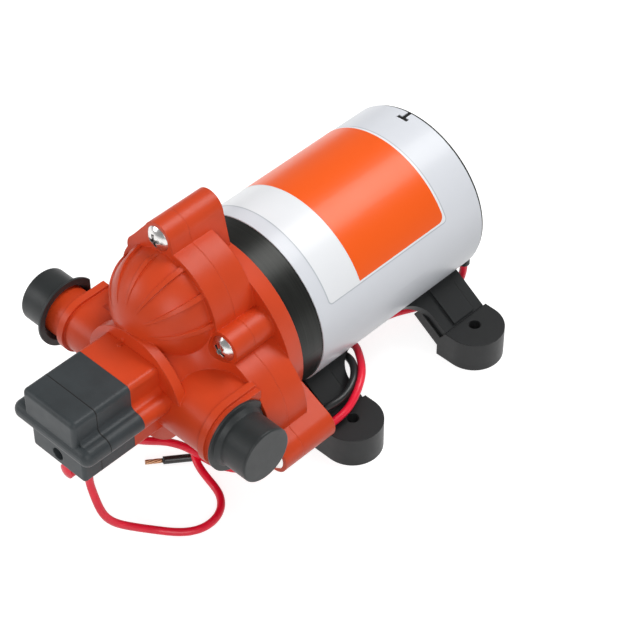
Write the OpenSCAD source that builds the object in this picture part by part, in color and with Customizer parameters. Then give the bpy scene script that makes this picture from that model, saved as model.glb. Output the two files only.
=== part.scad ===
// Twelve-volt, three-chamber diaphragm water pump with a pressure switch.
// The origin is on the floor at the centre of the four foot holes.
// +Z is up and the pump head faces -Y.

/* [Base] */
// Foot hole spacing across the pump
foot_pitch_x = 96; // [92:1:104]
// Foot hole spacing along the pump
foot_pitch_y = 72; // [60:1:76]
// Radius of the screw hole in each foot
foot_hole_r = 2.5; // [1.5:0.1:3.5]
// Radius of the rounded outer end of a foot
foot_r = 12.4; // [11:0.1:14]
// Height of a foot
foot_h = 14; // [12:0.5:16]
// Thickness of the cradle under the motor
cradle_wall = 2.5; // [2:0.1:4]
// Length of the cradle along the motor
cradle_len = 84; // [76:1:88]
// Thickness of the legs that slope down to the feet
leg_wall = 4; // [3:0.1:5]
// Height of the raised pad on each leg
pad_h = 1.2; // [0.6:0.1:2]
// Width of the raised pad on each leg
pad_w = 12; // [8:0.5:16]
// Radius of the curve where a leg widens into the cradle
leg_fillet_r = 11; // [6:0.5:12]
// Thickness of the rubber neck under each leg
foot_neck_t = 5; // [3:0.5:7]

/* [Motor] */
// Clearance between the white sleeve and the floor
ground_gap = 12.5; // [11:0.5:14.5]
// Outer radius of the white sleeve
sleeve_r = 37.5; // [36.5:0.1:38.5]
// Wall of the white sleeve
sleeve_wall = 0.5; // [0.4:0.1:1]
// Length of the white sleeve
sleeve_len = 91; // [88:1:96]
// Distance from the front edge of the sleeve to the centre of the foot holes
base_setback = 41.2; // [40:0.1:46]
// Length of the bare band in front of the sleeve
can_nose = 13; // [8:0.5:18]
// Wall of the steel can
can_wall = 2; // [1.5:0.1:2.5]
// Thickness of the rear cover at its raised middle
bell_t = 6; // [5.6:0.1:7]
// Thickness of the rear cover at its rim
bell_rim_t = 2.2; // [1.5:0.1:3]
// Radius of the motor shaft
shaft_r = 4; // [3:0.1:4.5]
// Outer radius of the ball bearings
bearing_r = 11; // [10:0.1:12]
// Width of the ball bearings
bearing_w = 7; // [6:0.1:8]
// Thickness of the field magnets
magnet_t = 5.5; // [4:0.1:7]
// Distance from the front edge of the sleeve to the armature core
core_setback = 11; // [10:0.5:14]
// Number of armature slots
slot_n = 12; // [8:1:16]
// Radius of the commutator
comm_r = 11; // [9:0.1:12]
// Length of the commutator
comm_len = 12; // [10:0.5:12.5]

/* [Pump head] */
// Turn of the three-lobed head about the motor axis, to the first lobe
lobe_turn = 98; // [90:1:106]
// Distance from the axis to each pumping chamber
cell_pitch = 25.2; // [24.5:0.1:26]
// How far the lobes of the flange stand out from the sleeve
lobe_out = 13.2; // [12.7:0.1:14.7]
// How far the long screws sit outside the sleeve
ear_out = 16.5; // [15.5:0.5:18.5]
// Radius of the ears for the long screws
ear_r = 7; // [6.2:0.1:8]
// How far the short screws sit inside the sleeve's radius
waist_in = 5.5; // [4.5:0.5:6.5]
// How far the web beside the first ear reaches in towards the axis
web_back = 12; // [10:0.5:13]
// How far the web beside the first ear reaches sideways
web_side = 12.4; // [10:0.1:13]
// Radius of the bosses for the short screws
waist_r = 7; // [6:0.1:8]
// Thickness of the upper flange
upper_flange = 9.5; // [9.2:0.1:10]
// Thickness of the lower flange
lower_flange = 10; // [9:0.5:11]
// Length of the round ring behind the lower flange
ring_len = 8; // [7:0.5:10]
// How far the round ring stands out from the sleeve
ring_lip = 3.5; // [2:0.1:4]
// Length of the ears behind the joint of the two housings
ear_run = 17; // [14:0.5:18]
// Radius of the ribbed dome
dome_r = 23; // [21:0.5:24]
// Number of ribs on the dome
rib_n = 7; // [5:1:13]
// Width of a dome rib at its foot
rib_w = 2.2; // [1.5:0.1:3]
// Height of a dome rib at its foot
rib_h = 1.3; // [0.6:0.1:2]
// Angle from the pole of the dome at which its ribs rise out of it
rib_start = 22; // [10:1:35]
// Radius of the neck that carries the pressure switch
neck_r = 21; // [19:0.5:23]
// Radius of the curve where the neck widens to the flange
neck_flare_r = 13; // [8:0.5:15]
// Radius of the disc at the front of the neck
disc_r = 25; // [23.5:0.5:27]
// Thickness of the disc at the front of the neck
disc_t = 3; // [2:0.5:4]
// Distance from the joint of the housings to the front of the disc
disc_front = 32; // [31:0.5:36]

/* [Screws] */
// Radius of the screw shanks
screw_r = 2.1; // [1.5:0.1:2.5]
// Radius of the screw heads
screw_head_r = 5.4; // [4.5:0.1:6]
// Height of the screw heads
screw_head_h = 2.3; // [2:0.1:4]
// Length of the long screws under the head
long_screw_len = 24; // [20:1:26]
// Length of the short screws under the head
short_screw_len = 17; // [14:1:18]

/* [Ports] */
// Outer radius of the threaded port tubes
port_r = 10.45; // [9.5:0.05:11]
// Radius of the bore through each port
port_bore_r = 6.5; // [5:0.1:7.5]
// Radius of the round front of the right port boss
boss_r = 13.7; // [13:0.1:14.5]
// Radius of the round front of the left port boss
left_boss_r = 11.1; // [11.1:0.1:14.5]
// Distance from the centre plane to the end of each boss
boss_reach = 43.5; // [41:0.5:46]
// Length of each port tube beyond its boss
port_len = 13.5; // [11:0.5:15]
// Distance from the joint of the housings to the port axis
port_front = 21.4; // [21.4:0.1:23]
// Drop of the port axis below the motor axis
port_drop = 3.8; // [3:0.1:5]
// Width of the raised rib round each boss
boss_rib_w = 3.2; // [2:0.1:4]
// Height of the raised rib round each boss
boss_rib_h = 1.2; // [0.6:0.1:1.4]
// Distance from the end of the right boss to its rib
boss_rib_back = 2.4; // [1:0.1:4]
// Distance from the end of the left boss to its rib
left_rib_back = 0.8; // [0.5:0.1:4]
// Wall of the rubber caps
cap_wall = 1; // [0.8:0.1:1.2]
// Radius of the brim of the caps
cap_brim_r = 15; // [14:0.1:17]
// Thickness of the brim
cap_brim_t = 1; // [0.8:0.1:1.2]
// Length of the flare behind the brim
cap_flare = 3; // [2:0.1:6]
// Radius of the rounded edge at the end of the caps
cap_edge_r = 0.8; // [0.5:0.1:3]
// End wall of the caps
cap_end_t = 1.2; // [1:0.1:3]
// How far the left cap is drawn off its port
left_cap_draw = 5.5; // [0:0.5:6]

/* [Pressure switch] */
// Length of the orange switch base in front of the disc
base_len = 14; // [12:0.5:16]
// Length of the rear half of the boot
boot_rear_len = 16.4; // [15:0.1:18]
// Length of the front half of the boot at its top block
boot_front_len = 11; // [10:0.5:13]
// Wall of the boot
boot_wall = 1.5; // [1.2:0.1:1.6]
// Half width of the top block
top_hw = 14.2; // [12.5:0.1:15]
// Top of the top block above the motor axis
top_y = 18; // [17:0.1:20]
// Half width of the ledge
ledge_hw = 21; // [20:0.1:22]
// Top of the ledge above the motor axis
ledge_y = 7; // [6:0.1:8]
// Half width of the lower block
low_hw = 14.5; // [13.5:0.1:15.5]
// Bottom of the lower block below the motor axis
low_drop = 14; // [13.8:0.1:15]
// Drop of the adjusting screw below the motor axis
adjust_drop = 8.5; // [8:0.1:8.6]
// Radius of the adjusting screw
adjust_r = 2.6; // [2.2:0.1:2.8]
// Travel of the pressure plunger
plunger_travel = 1.5; // [0.5:0.1:1.7]
// Wire radius of the plunger spring
spring_wire_r = 0.4; // [0.3:0.05:0.5]
// Number of turns of the plunger spring
spring_turns = 6; // [4:1:7]

/* [Diaphragm drive] */
// Tilt of the wobble plate
wobble_tilt = 3; // [2:0.1:3]
// Thickness of the diaphragm
diaphragm_t = 1.6; // [1.4:0.1:1.8]
// Radius of the pistons
piston_r = 11.5; // [10:0.1:11.5]
// Outer radius of the folded ring round each piston
fold_r = 16; // [15.6:0.1:16.4]
// Thickness of the valve plate
valve_plate_t = 6; // [5.8:0.1:6.2]

/* [Leads] */
// Radius of the insulated leads
lead_r = 1.6; // [1.2:0.1:1.8]
// Radius of the bare wire at a stripped end
bare_r = 1; // [0.6:0.1:1.1]
// Length of the bare wire at a stripped end
bare_len = 7; // [4:0.5:10]

/* [Fits] */
// Radial clearance of running fits
run_gap = 0.05; // [0.02:0.01:0.08]
// Clearance of pieces seated in one another
seat_gap = 0.02; // [0.01:0.01:0.05]
// Clearance between rubber and the moving pieces next to it
soft_gap = 0.3; // [0.2:0.05:0.4]

/* [Hidden] */
$fn = 64;
eps = 0.01;

// Colours
orange = "#DE4F2C";
slate = "#3F4446";
black = "#2A2C2C";
steel = "#B9BCBE";
red = "#C8102E";

// Stations along the head axis, forward of the joint of the two housings
z_step = -lower_flange;
z_can = z_step - ring_len;
z_sleeve = z_can - can_nose;
z_rear = z_sleeve - sleeve_len;
can_rim = 1.1;
z_bell = z_rear - can_rim;
z_base = disc_front + base_len;
z_split = z_base + boot_rear_len;
z_boot = z_split + boot_front_len;
y_joint = -base_setback - can_nose - ring_len - lower_flange;

// Heights and radii that follow from the motor
axis_h = ground_gap + sleeve_r;
can_r = sleeve_r - sleeve_wall;
can_in = can_r - can_wall;
air_gap = 0.8;
magnet_in = can_in - seat_gap - magnet_t;
core_r = magnet_in - air_gap;
ring_r = sleeve_r + ring_lip;
ring_back_r = sleeve_r + ring_lip / 2;

// The three chambers and the screws between them
lobes = [for (k = [0 : 2]) lobe_turn + 120 * k];
waists = [for (k = [0 : 2]) lobe_turn + 60 + 120 * k];
lobe_r = sleeve_r + lobe_out - cell_pitch;
ear_pitch = sleeve_r + ear_out;
waist_pitch = sleeve_r - waist_in;
hub_r = waist_pitch - 1;
ear_flare = 2;
rib_cut = 4;
web_in = 0.2;
hole_gap = 0.1;
head_gap = 0.6;
driver_room = 8;

// The chamber stack, from the joint forward
rim_w = 5;
cell_r = fold_r + 0.6;
diaphragm_r = fold_r + rim_w;
plate_r = diaphragm_r - 0.5;
z_plate = diaphragm_t + valve_plate_t;
gallery_in = 14;
gallery_out = 22;
gallery_t = 2;
outlet_r = 12;
room_floor = 4;
z_room = z_plate + gallery_t + room_floor;
way_end = 8;
pressure_way = 12;
pressure_rim = 3;
inlet_pitch = 17;
inlet_r = 4.6;
inlet_t = 0.6;
stem_r = 1.4;
pocket_floor = 1.5;
pocket_r = fold_r + 0.4;
seal_in = 12.5;
seal_out = 13.5;
seal_t = 1;

// The nutating plate turns about a point in the middle of the diaphragm
z_centre = diaphragm_t / 2;
clamp_z = diaphragm_t / 2 + soft_gap;
piston_t = 1.8;
fold_depth = 3.2;
arm_room = 1.1;
arm_front = -fold_depth - arm_room;
arm_t = 2.6;
arm_back = arm_front - arm_t;
cell_depth = 8.6;
stud_r = 3;
stud_hole_r = stud_r + soft_gap;
arm_r = piston_r;
arm_w = 13;
fold_wall = 1.4;
fold_in = arm_r + 0.7;
hub_wall = 3.5;
hub_web = 1;
hub_front = arm_front - hub_web;
hub_back = hub_front - bearing_w;
piston_screw_r = 1.5;
piston_head_r = 2.6;
piston_head_t = 1.2;
drive_depth = 14;
drive_r = 24;
ring_room_r = 33;
cam_collar_r = 7;
cam_front = z_centre + hub_back - 0.9;
cam_web = 1.6;

// The motor's inner stations
plate_t = 4;
bearing_lip = 2;
bearing_boss_wall = 3.5;
z_front_bearing = z_can - bearing_lip - bearing_w;
shaft_nose = cam_front - cam_web;
z_rear_bearing = z_rear + 0.5;
shaft_tail = z_rear_bearing + 0.5;
winding_run = 9;
bell_plug = 6;
card_t = 4;
card_gap = 1.5;
card_back = z_rear + bell_plug;
card_front = card_back + card_t;
comm_back = card_front + card_gap;
comm_front = comm_back + comm_len;
core_back = comm_front + card_gap + winding_run;
core_front = z_sleeve - core_setback;
core_len = core_front - core_back;
winding_in = shaft_r + 2.5;
winding_out = core_r - 3;
slot_w = 3;
slot_d = 8;
magnet_arc = 146;
brush_w = 5;
brush_t = 6;
brush_end = comm_r + 10;
holder_wall = 1.5;
brush_room = 1.5;
shaft_hole_r = shaft_r + 2;
bell_r = can_r - 4;
bell_boss_r = can_r - 12;
bell_cap_t = 1.6;
bell_floor = 2;
outlet_low = [11, -can_r];
outlet_high = [29.5, -19];

// The pressure switch
pressure_r = 7;
pressure_t = 1.6;
plunger_r = 2;
plunger_flange_r = 2.8;
plunger_flange_t = 2;
z_flange = disc_front + 6;
arm_top = 9.5;
arm_hw = 2.5;
button_y = 8;
button_r = 1.5;
z_switch = z_flange + plunger_flange_t + 4;
switch_size = [20, 10, 8];
switch_y = 3.5;
button_run = 6.5;
spigot_len = 12;
spigot_wall = 1.6;
guide_t = 3;
tower_r = 4.6;
tower_front = z_base + 20;
spring_room_r = 3;
z_adjust = z_base + 10;
adjust_len = 9;
spring_r = spring_room_r - spring_wire_r - soft_gap;
adjust_hole_r = adjust_r + 0.15;
tab_size = [4, 0.8, 6];
tab_x = 6;
terminal_r = 3.2;
terminal_x = 1.5;
terminal_neck = 4.4;
z_terminal = z_split - 8.4;
supply_x = 12;
z_supply = z_split + 4.6;
terminal_len = 16;
ledge_foot = -1;
low_set_back = 2.5;
ledge_proud = 1;
top_corner = 2.2;
ledge_corner = 3.8;
low_corner = 1.6;
boot_blend_r = 2.4;
gate_r = 0.9;
gate_h = 0.3;
gate_x = -4.8;

// Caps
cap_gap = 0.05;
cap_r = port_r + cap_gap + cap_wall;
cap_bore = port_r + cap_gap;
cap_seat = 0.2;
cap_rim = 1.6;
cap_depth = port_len + 0.5;
cap_flat = port_front - upper_flange - soft_gap;

// Feet and legs
foot_x = foot_pitch_x / 2;
foot_y = foot_pitch_y / 2;
leg_turn = -42;
leg_root = [sleeve_r * cos(leg_turn), axis_h + sleeve_r * sin(leg_turn)];
leg_tip = [foot_x - 4.6, foot_h + 0.4];
leg_slope = atan2(leg_root[1] - leg_tip[1], leg_tip[0] - leg_root[0]);
leg_len = norm(leg_tip - leg_root);
leg_back = 5;
foot_inner = 9;
cradle_turn = 30;
cradle_gap = 0.05;

// Routes of the leads, in the part's own frame
grommet_r = 2.4;
grommet_run = 7;
lead_sides = 8;
y_lead = y_joint - z_bell + bell_t / 2;
y_terminal = y_joint - z_terminal;
h_terminal = axis_h - low_drop - terminal_neck;
y_supply = y_joint - z_supply;
h_boot = axis_h - low_drop;
motor_red_route = [
  [26, y_lead, 22], [26, y_lead, 20.4], [25.9, y_lead - 1.9, 13.4], [24.8, y_lead - 7, 8.3],
  [22, y_lead - 13.6, 6], [16.6, 30, 5.3], [12.8, 20, 5.2], [12.6, 6, 5.5], [14.8, -2, 9],
  [24.2, -9.5, 18], [33, -16, 22.4], [39.6, -22, 23.4], [44.6, -30, 22], [46.4, -38, 18.6],
  [46.2, -44, 17.3], [45.3, -49.7, 15.3], [42.4, -56.6, 9.5], [35, -67, 3.1], [26, -79, 1.9],
  [18, -84.6, 4.6], [11, -89.5, 10.5], [6, -96, 15.5], [4, -103, 20],
  [2.6, -110, 25.4], [1.8, -116.5, h_terminal - 1.4], [terminal_x, -121.5, h_terminal],
  [terminal_x, y_terminal, h_terminal]
];
motor_black_route = [
  [17, y_lead, 15], [17, y_lead, 14.2], [16.9, y_lead - 1.7, 8], [16.2, y_lead - 6.3, 3.8],
  [14.8, y_lead - 12, 2], [11.6, 30, 1.7], [9.9, 16, 1.7], [9.8, 4, 1.8], [11.2, -3.5, 3.3],
  [14.9, -10, 8.3], [24, -16.4, 18.2], [33, -20.4, 22.6], [40, -27.4, 23], [42.4, -36.1, 21.5],
  [40.9, -44.4, 20.1], [38.6, -50.7, 15.7], [35, -57, 8.2], [28, -67, 2.8], [20, -75, 1.8],
  [13, -82.4, 1.7], [7.6, -89, 1.7], [2.6, -95.4, 1.7]
];
supply_red_route = [
  [supply_x, y_supply, h_boot + 1], [supply_x, y_supply, h_boot - 3], [14, -139.2, 26], [18, -138.2, 17],
  [22, -130.7, 8.2], [28, -121.5, 2.8], [34.3, -115.3, 1.7], [38.1, -109.2, 1.6], [38.7, -102.8, 1.6],
  [36.4, -97, 1.6], [31.4, -92.6, 1.7], [23.8, -90.4, 2.2], [15.5, -88.8, 4.3], [9.4, -84.8, 4.6],
  [5.8, -78.3, 3.2], [6.2, -68.1, 1.9], [9, -54, 1.6], [10.6, -40, 1.6]
];

// Frame of the head: x right, y up, z forward of the joint of the housings
module head() {
  translate([0, y_joint, axis_h])
    rotate([90, 0, 0])
      children();
}

// Frame of the wobble plate, tilted about the centre of the diaphragm
module wobble() {
  head()
    translate([0, 0, z_centre])
      rotate([wobble_tilt, 0, 0])
        children();
}

// A place at an angle and a distance from the axis
module polar(angle, reach) {
  rotate(angle)
    translate([reach, 0, 0])
      children();
}

// A round bar or tube between two stations
module ring(z0, z1, r, bore = 0) {
  translate([0, 0, z0])
    difference() {
      cylinder(h = z1 - z0, r = r);
      if (bore > 0)
        translate([0, 0, -1])
          cylinder(h = z1 - z0 + 2, r = bore);
    }
}

// A block given by its two corners
module block(low, high) {
  translate(low)
    cube(high - low);
}

// A rectangle with round corners, between two heights
module round_rect(hw, y0, y1, r) {
  translate([-hw + r, y0])
    square([2 * (hw - r), y1 - y0]);
  translate([-hw, y0 + r])
    square([2 * hw, y1 - y0 - 2 * r]);
  for (x = [-1, 1], y = [y0 + r, y1 - r])
    translate([x * (hw - r), y])
      circle(r = r);
}

// Outline of both housings seen from the front
module head_outline() {
  circle(r = hub_r);
  for (a = lobes) {
    polar(a, cell_pitch)
      circle(r = lobe_r);
    ear_outline(a);
  }
  for (a = waists)
    polar(a, waist_pitch)
      circle(r = waist_r);
}

// One ear for a long screw, wider where it leaves the flange
module ear_outline(a) {
  root = cell_pitch;
  polar(a, ear_pitch)
    circle(r = ear_r);
  rotate(a)
    polygon([
      [root, -ear_r - ear_flare], [ear_pitch, -ear_r], [ear_pitch, ear_r], [root, ear_r + ear_flare]
    ]);
}

// A web with a round corner that widens the upper flange on one side of an ear
module ear_web(a) {
  ear = [ear_pitch, 0];
  corner = ear + [-web_back, web_side];
  edge = (ear_r - web_in) * [web_side, web_back] / norm([web_side, web_back]);
  rotate(a) {
    translate(corner)
      circle(r = ear_r);
    polygon([ear, ear + edge, corner + edge, corner, [cell_pitch, 0]]);
  }
}

// Three equal circles on the chamber centres, joined round the axis
module cell_outline(r, middle) {
  circle(r = middle);
  for (a = lobes)
    polar(a, cell_pitch)
      circle(r = r);
}

// Screw holes through a housing
module screw_holes(z0, z1, gap) {
  for (a = lobes)
    polar(a, ear_pitch)
      ring(z0, z1, screw_r + gap);
  for (a = waists)
    polar(a, waist_pitch)
      ring(z0, z1, screw_r + gap);
}

// Section of the ports: round in front, with straight sides back to the flange
module boss_section(r) {
  circle(r = r);
  translate([0, -r])
    square([port_front - upper_flange + 1, 2 * r]);
}

// A length along the port axis, from one station across the pump to another
module along_ports(x0, x1) {
  translate([x0, -port_drop, port_front])
    rotate([0, 90, 0])
      linear_extrude(x1 - x0)
        children();
}

// Meridian ribs that rise from a smooth crown round the pole of the dome to its foot
module dome_ribs() {
  rib_angle = 2 * atan(rib_w / 2 / (dome_r + rib_h));
  step = 180 / (rib_n - 1);
  for (k = [0 : rib_n - 1])
    rotate(-90 + k * step - rib_angle / 2)
      rotate_extrude(angle = rib_angle)
        intersection() {
          translate(rib_h * [cos(rib_start), -sin(rib_start)])
            circle(r = dome_r);
          translate([dome_r * sin(rib_start + rib_cut), 0])
            square([dome_r + rib_h, dome_r]);
        }
}

// The ribbed dome over the first chamber
module dome() {
  polar(lobes[0], cell_pitch)
    translate([0, 0, upper_flange - 1]) {
      intersection() {
        sphere(r = dome_r);
        translate([0, 0, -0.5])
          cylinder(h = 2 * dome_r, r = 2 * dome_r);
      }
      dome_ribs();
    }
}

// The neck with its flared foot and the disc at its front
module neck() {
  foot = upper_flange - 1;
  rotate_extrude()
    difference() {
      translate([0, foot])
        square([neck_r + neck_flare_r, disc_front - disc_t - foot]);
      translate([neck_r + neck_flare_r, foot + 1 + neck_flare_r])
        circle(r = neck_flare_r);
      translate([neck_r, foot + 1 + neck_flare_r])
        square([neck_flare_r + 1, disc_front]);
    }
  ring(disc_front - disc_t - 1, disc_front, disc_r);
}

// Water ways of the front moulding
module water_ways() {
  translate([0, 0, -1])
    linear_extrude(diaphragm_t + 1)
      cell_outline(diaphragm_r + seat_gap, drive_r);
  translate([0, 0, -1])
    linear_extrude(z_plate + 1)
      cell_outline(plate_r + seat_gap, drive_r);
  ring(z_plate - 1, z_plate + gallery_t, outlet_r);
  ring(z_plate - eps, z_plate + gallery_t, gallery_out, gallery_in);
  ring(z_plate - eps, z_plate + seal_t, seal_out + seat_gap, seal_in - seat_gap);
  ring(z_plate, disc_front - way_end, port_bore_r);
  translate([0, -adjust_drop, 0])
    ring(disc_front - pressure_way, disc_front - 1, pressure_r - pressure_rim);
  translate([0, -adjust_drop, 0])
    ring(disc_front - pressure_t, disc_front + 1, pressure_r + seat_gap);
  along_ports(0, boss_reach + port_len + 1)
    circle(r = port_bore_r);
  along_ports(-boss_reach - port_len - 1, -gallery_in)
    circle(r = port_bore_r);
  translate([-inlet_pitch - 1, -port_drop, 0])
    ring(z_plate, port_front, port_bore_r / 2);
  dome_room();
}

// The air space in the dome, with its way to the inlet gallery
module dome_room() {
  room_r = dome_r - 7;
  polar(lobes[0], cell_pitch + 3.5)
    intersection() {
      translate([0, 0, upper_flange])
        sphere(r = room_r);
      ring(z_room, upper_flange + dome_r, dome_r);
    }
  polar(lobes[0], inlet_pitch + 2)
    ring(z_plate, z_room + 2, 2.5);
}

module upper_housing() {
  color(orange)
    head()
      difference() {
        union() {
          linear_extrude(upper_flange) {
            head_outline();
            ear_web(lobes[0]);
          }
          dome();
          neck();
          along_ports(-neck_r / 4, boss_reach)
            boss_section(boss_r);
          along_ports(boss_reach - boss_rib_back - boss_rib_w, boss_reach - boss_rib_back)
            boss_section(boss_r + boss_rib_h);
          along_ports(-boss_reach, 0)
            boss_section(left_boss_r);
          along_ports(left_rib_back - boss_reach, left_rib_back + boss_rib_w - boss_reach)
            boss_section(left_boss_r + boss_rib_h);
          along_ports(-boss_reach - port_len, boss_reach + port_len)
            circle(r = port_r);
        }
        water_ways();
        boot_run(disc_front, z_base, -seat_gap);
        screw_holes(-1, upper_flange + 1, hole_gap);
        for (a = lobes)
          polar(a, ear_pitch)
            ring(upper_flange, upper_flange + dome_r, screw_head_r + head_gap);
        for (a = waists)
          polar(a, waist_pitch)
            ring(upper_flange, upper_flange + driver_room, screw_head_r + head_gap);
      }
}

module lower_housing() {
  color(orange)
    head()
      difference() {
        union() {
          translate([0, 0, z_step])
            linear_extrude(lower_flange)
              head_outline();
          translate([0, 0, z_can])
            cylinder(h = ring_len + eps, r1 = ring_back_r, r2 = ring_r);
          for (a = lobes)
            translate([0, 0, -ear_run])
              linear_extrude(ear_run)
                ear_outline(a);
        }
        translate([0, 0, -cell_depth])
          linear_extrude(cell_depth + 1)
            cell_outline(cell_r, drive_r);
        ring(-drive_depth, 1, drive_r);
        ring(-drive_depth, z_step - 1, ring_room_r);
        ring(z_can - 1, 0, cam_collar_r + 3);
        screw_holes(upper_flange - long_screw_len - 1, 1, seat_gap);
      }
}

// A pan-head screw with a cross recess, its seat at z = 0
module pan_screw(length) {
  round_r = (screw_head_r * screw_head_r + screw_head_h * screw_head_h) / (2 * screw_head_h);
  recess = [5.4, 1.5];
  recess_depth = 1.5;
  difference() {
    intersection() {
      translate([0, 0, screw_head_h - round_r])
        sphere(r = round_r);
      cylinder(h = screw_head_h + 1, r = screw_head_r);
    }
    for (turn = [0, 90])
      rotate(turn)
        translate([-recess[0] / 2, -recess[1] / 2, screw_head_h - recess_depth])
          cube([recess[0], recess[1], 2 * recess_depth]);
  }
  translate([0, 0, -length])
    cylinder(h = length + eps, r = screw_r);
}

module long_screws() {
  color(steel)
    head()
      for (a = lobes)
        polar(a, ear_pitch)
          translate([0, 0, upper_flange])
            rotate(a)
              pan_screw(long_screw_len);
}

module short_screws() {
  color(steel)
    head()
      for (a = waists)
        polar(a, waist_pitch)
          translate([0, 0, upper_flange])
            rotate(a / 2)
              pan_screw(short_screw_len);
}

// Stepped section of the switch base and its boot, drawn in by an inset
module boot_section(inset = 0) {
  round_rect(top_hw - inset, 0, top_y - inset, top_corner - inset / 2);
  round_rect(ledge_hw - inset, ledge_foot + inset, ledge_y - inset, ledge_corner - inset);
  round_rect(low_hw - inset, inset - low_drop, 2, low_corner - inset / 4);
  boot_blends(inset);
}

// The hollow curves between the top block and the ledge
module boot_blends(inset) {
  r = boot_blend_r;
  for (s = [0, 1])
    mirror([s, 0])
      translate([top_hw - inset - eps, ledge_y - inset - eps])
        difference() {
          square(r);
          translate([r, r])
            circle(r = r);
        }
}

// A boot section between two stations
module boot_run(z0, z1, inset = 0) {
  translate([0, 0, z0])
    linear_extrude(z1 - z0)
      boot_section(inset);
}

// Room inside the switch base for the plunger and its arm
module plunger_room() {
  room = arm_hw + 1.5;
  block([-room, -adjust_drop - plunger_flange_r - 1, disc_front + guide_t],
        [room, arm_top + 1, z_base - 3]);
  translate([0, -adjust_drop, 0])
    ring(disc_front - 1, z_base, plunger_r + run_gap);
}

module switch_housing() {
  front = z_base + spigot_len;
  inner = boot_wall + seat_gap;
  color(orange)
    head()
      difference() {
        union() {
          difference() {
            union() {
              boot_run(disc_front, z_base);
              boot_run(z_base - eps, front, inner);
              translate([gate_x, top_y - gate_h, disc_front + 2 * gate_r])
                rotate([-90, 0, 0])
                  cylinder(h = 2 * gate_h, r = gate_r);
            }
            boot_run(z_base - 4, front + 1, inner + spigot_wall);
          }
          block([-top_hw + inner, switch_y - 2, z_switch - 1], [top_hw - inner, switch_y - seat_gap, front]);
          intersection() {
            translate([0, -adjust_drop, 0])
              ring(z_base - 2, tower_front, tower_r);
            boot_run(z_base - 4, tower_front, inner);
          }
        }
        plunger_room();
        translate([0, -adjust_drop, 0])
          ring(z_base - 3, z_adjust, spring_room_r);
        translate([0, -adjust_drop, 0])
          ring(z_base, tower_front + 1, adjust_r + run_gap);
      }
}

module boot_rear() {
  color(slate)
    head()
      difference() {
        boot_run(z_base, z_split);
        boot_run(z_base - 1, z_split + 1, boot_wall);
      }
}

// One block of the boot's front half, with its front edges rounded
module boot_block(hw, y0, y1, z1, r) {
  hull()
    for (x = [-1, 1], y = [y0 + r, y1 - r])
      translate([x * (hw - r), y, z_split]) {
        cylinder(h = r, r = r, $fn = 24);
        translate([0, 0, z1 - r - z_split])
          sphere(r = r, $fn = 24);
      }
}

module boot_front() {
  low_front = z_boot - low_set_back;
  color(slate)
    head()
      difference() {
        union() {
          boot_block(top_hw, ledge_foot, top_y, z_boot, top_corner);
          boot_block(ledge_hw, ledge_foot, ledge_y, z_boot + ledge_proud, ledge_corner);
          boot_block(low_hw, -low_drop, ledge_y, low_front, low_corner);
          translate([0, 0, z_split])
            linear_extrude(boot_front_len - top_corner)
              boot_blends(0);
        }
        boot_run(z_split - 1, low_front - 2 * boot_wall, boot_wall);
        translate([0, -adjust_drop, 0])
          ring(z_split, z_boot + 2, adjust_hole_r);
        translate([supply_x, -low_drop - 1, z_supply])
          rotate([-90, 0, 0])
            cylinder(h = boot_wall + 2, r = lead_r + seat_gap);
      }
}

module red_terminal() {
  y = -low_drop - terminal_neck;
  color(red)
    head()
      translate([terminal_x, y, z_terminal])
        union() {
          intersection() {
            cylinder(h = terminal_len, r = terminal_r);
            translate([0, 0, terminal_len - 2 * terminal_r])
              sphere(r = 2 * terminal_r);
          }
          ring(0, terminal_len / 2, terminal_r);
          block([-2.2, 0, terminal_len - 8], [2.2, terminal_neck, terminal_len - 2]);
        }
}

// A length of cone between two radii, cut flat on the side next to the flange
module cap_cone(length, r0, r1, flat) {
  intersection() {
    cylinder(h = length, r1 = r0, r2 = r1);
    block([-cap_brim_r - 1, -cap_brim_r - 1, -1], [flat, cap_brim_r + 1, length + 1]);
  }
}

// A rubber cap with a thin brim at z = 0, a flare behind it and a flat end
module port_cap() {
  length = cap_depth + cap_end_t;
  difference() {
    union() {
      cap_cone(cap_brim_t, cap_brim_r, cap_brim_r, cap_flat);
      cap_cone(cap_flare, cap_brim_r - cap_rim, cap_r - eps, cap_flat);
      rotate_extrude() {
        square([cap_r, length - cap_edge_r]);
        square([cap_r - cap_edge_r, length]);
        translate([cap_r - cap_edge_r, length - cap_edge_r])
          circle(r = cap_edge_r);
      }
    }
    translate([0, 0, -eps])
      cap_cone(cap_flare, cap_brim_r - cap_rim - cap_wall, cap_bore - cap_gap, cap_flat - cap_wall);
    translate([0, 0, -1])
      cylinder(h = cap_depth + 1, r = cap_bore);
  }
}

// A cap in its place on the right port, drawn off by some distance
module placed_cap(draw) {
  head()
    translate([boss_reach + cap_seat + draw, -port_drop, port_front])
      rotate([0, 90, 0])
        port_cap();
}

module left_port_cap() {
  color(slate)
    mirror([1, 0, 0])
      placed_cap(left_cap_draw);
}

module right_port_cap() {
  color(slate)
    placed_cap(0);
}

module motor_can() {
  color("#4A4B48")
    head()
      ring(z_bell, z_can, can_r, can_in);
}

module motor_sleeve() {
  notch = [1.8, 5];
  bar = [5.4, 1.8];
  color("#E2E5E9")
    head()
      difference() {
        ring(z_rear, z_sleeve, sleeve_r, can_r + seat_gap);
        translate([-3, 0, z_rear])
          block([-notch[0] / 2, 0, -1], [notch[0] / 2, sleeve_r + 1, notch[1]]);
        translate([-3, 0, z_rear + notch[1] - bar[1]])
          block([-bar[0] / 2, 0, 0], [bar[0] / 2, sleeve_r + 1, bar[1]]);
      }
}

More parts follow.
